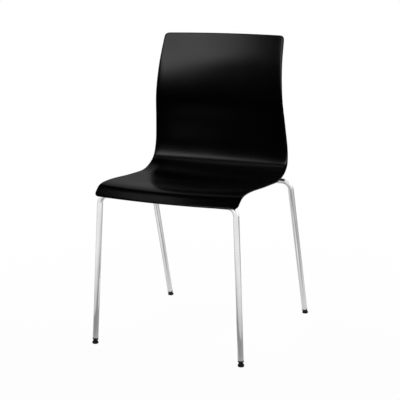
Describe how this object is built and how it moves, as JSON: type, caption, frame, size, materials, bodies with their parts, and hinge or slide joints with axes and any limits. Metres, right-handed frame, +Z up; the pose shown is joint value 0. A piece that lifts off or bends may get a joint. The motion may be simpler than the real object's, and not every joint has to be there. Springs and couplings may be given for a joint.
{
  "type": "choir chair",
  "caption": "Armless chair with a one-piece moulded seat and back, dished for the sitter, on two bent chromed tube leg frames with black foot plugs.",
  "frame": {"origin": "on the floor, under the middle of the chair's outline: halfway between left and right, and halfway from the lip to the back of the rear feet", "axes": "+X to the right in a view of the chair's front, -Y the way the sitter faces, +Z up from the floor"},
  "size_m": [0.4634, 0.5208, 0.8281],
  "materials": {
    "shell_plastic": "satin moulded black, very fine grain",
    "frame_chrome": "bright chrome plate on drawn tube",
    "rail_chrome": "bright chrome plate on flat bar, a little duller than the tube",
    "insert_brass": "turned brass",
    "fastener_zinc": "zinc-plated steel",
    "saddle_plastic": "matt black nylon",
    "foot_plastic": "satin black polyethylene"
  },
  "bodies": {
    "root": {"seat_shell": "shell_plastic", "front_frame": "frame_chrome", "rear_frame": "frame_chrome", "left_rail": "rail_chrome", "right_rail": "rail_chrome", "threaded_inserts": "insert_brass", "seat_screws": "fastener_zinc", "seat_washers": "fastener_zinc", "front_left_saddle": "saddle_plastic", "front_right_saddle": "saddle_plastic", "rear_left_saddle": "saddle_plastic", "rear_right_saddle": "saddle_plastic", "front_left_foot": "foot_plastic", "front_right_foot": "foot_plastic", "rear_left_foot": "foot_plastic", "rear_right_foot": "foot_plastic"}
  },
  "joints": []
}
